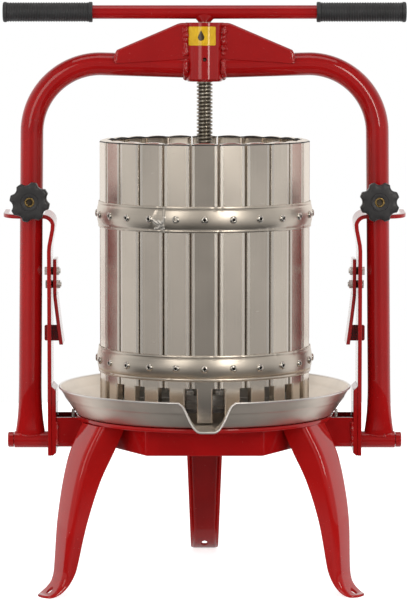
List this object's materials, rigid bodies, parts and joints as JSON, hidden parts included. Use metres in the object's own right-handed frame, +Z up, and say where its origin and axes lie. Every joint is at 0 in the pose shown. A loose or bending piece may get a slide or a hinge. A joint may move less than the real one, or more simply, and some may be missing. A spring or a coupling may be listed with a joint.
{
  "type": "screw fruit press",
  "caption": "Tripod screw fruit press: slotted steel basket on a spouted tray, tube yoke with a screw nut, a T-handle screw with a press plate, clamp knobs and sprung catches.",
  "frame": {"origin": "on the floor under the basket's axis, at the centre of the circle of foot holes", "axes": "+Z up along the screw, +X to the right seen from the spout side, -Y towards the spout"},
  "size_m": [0.5048, 0.4345, 0.7312],
  "materials": {
    "red_paint": "gloss",
    "stainless": "satin",
    "screw_steel": "oiled",
    "zinc": "zinc plated",
    "grip_rubber": "matt, ribbed",
    "knob_plastic": "matt",
    "brass": "turned",
    "label": "gloss"
  },
  "bodies": {
    "frame": {"base_disc": "red_paint", "base_skirt": "red_paint", "cross_channel": "red_paint", "leg_front_left": "red_paint", "leg_front_right": "red_paint", "leg_rear": "red_paint", "upright_left": "red_paint", "upright_right": "red_paint", "stiffener_left": "red_paint", "stiffener_right": "red_paint", "pivot_pin_left": "red_paint", "pivot_pin_right": "red_paint", "pivot_boss_left": "red_paint", "pivot_boss_right": "red_paint", "yoke_tube_left": "red_paint", "yoke_tube_right": "red_paint", "nut_block": "red_paint", "gusset_left": "red_paint", "gusset_right": "red_paint", "catch_plate_left": "red_paint", "catch_plate_right": "red_paint", "tray": "stainless", "catch_bolts_left": "zinc", "catch_bolts_right": "zinc", "catch_nuts_left": "zinc", "catch_nuts_right": "zinc", "catch_spacers_left": "zinc", "catch_spacers_right": "zinc", "knob_stud_left": "zinc", "knob_stud_right": "zinc", "tray_locators": "zinc", "oil_label": "label"},
    "plate": {"press_plate": "stainless", "swivel_cup": "stainless", "swivel_pins": "screw_steel", "thrust_washer": "brass", "cup_bolts": "zinc"},
    "screw": {"screw": "screw_steel", "handle_bar": "red_paint", "grip_left": "grip_rubber", "grip_right": "grip_rubber"},
    "washer_left": {"knob_washer_left": "zinc"},
    "washer_right": {"knob_washer_right": "zinc"},
    "knob_left": {"knob_left": "knob_plastic", "knob_insert_left": "brass"},
    "knob_right": {"knob_right": "knob_plastic", "knob_insert_right": "brass"},
    "catch_left": {"catch_arm_left": "red_paint"},
    "catch_right": {"catch_arm_right": "red_paint"},
    "basket": {"basket_staves": "stainless", "hoop_upper": "stainless", "hoop_lower": "stainless", "rivets_upper": "stainless", "rivets_lower": "stainless"}
  },
  "joints": [
    {"name": "press_lift", "type": "slide", "parent": "frame", "child": "plate", "axis": [0, 0, 1], "range_m": [0, 0.36]},
    {"name": "screw_turn", "type": "hinge", "parent": "plate", "child": "screw", "pos_m": [0, 0, 0.5], "axis": [0, 0, 1], "range_deg": [0, 28170]},
    {"name": "knob_left_back_off", "type": "slide", "parent": "frame", "child": "washer_left", "axis": [0, -1, 0], "range_m": [0, 0.0102]},
    {"name": "knob_left_turn", "type": "hinge", "parent": "washer_left", "child": "knob_left", "pos_m": [-0.2175, -0.04, 0.483], "axis": [0, -1, 0], "range_deg": [0, 2880]},
    {"name": "catch_left_flex", "type": "hinge", "parent": "frame", "child": "catch_left", "pos_m": [-0.1885, 0, 0.3652], "axis": [0, -1, 0], "range_deg": [0, 8], "stiffness_Nm_per_rad": 8},
    {"name": "knob_right_back_off", "type": "slide", "parent": "frame", "child": "washer_right", "axis": [0, -1, 0], "range_m": [0, 0.0102]},
    {"name": "knob_right_turn", "type": "hinge", "parent": "washer_right", "child": "knob_right", "pos_m": [0.2175, -0.04, 0.483], "axis": [0, -1, 0], "range_deg": [0, 2880]},
    {"name": "catch_right_flex", "type": "hinge", "parent": "frame", "child": "catch_right", "pos_m": [0.1885, 0, 0.3652], "axis": [0, 1, 0], "range_deg": [0, 8], "stiffness_Nm_per_rad": 8},
    {"name": "basket_lift", "type": "slide", "parent": "frame", "child": "basket", "axis": [0, 0, 1], "range_m": [0, 0.06]}
  ],
  "couplings": [
    {"joint": "press_lift", "follows": "screw_turn", "m_per_rad": 0.00073211},
    {"joint": "knob_left_back_off", "follows": "knob_left_turn", "m_per_rad": 0.00019894},
    {"joint": "knob_right_back_off", "follows": "knob_right_turn", "m_per_rad": 0.00019894}
  ]
}
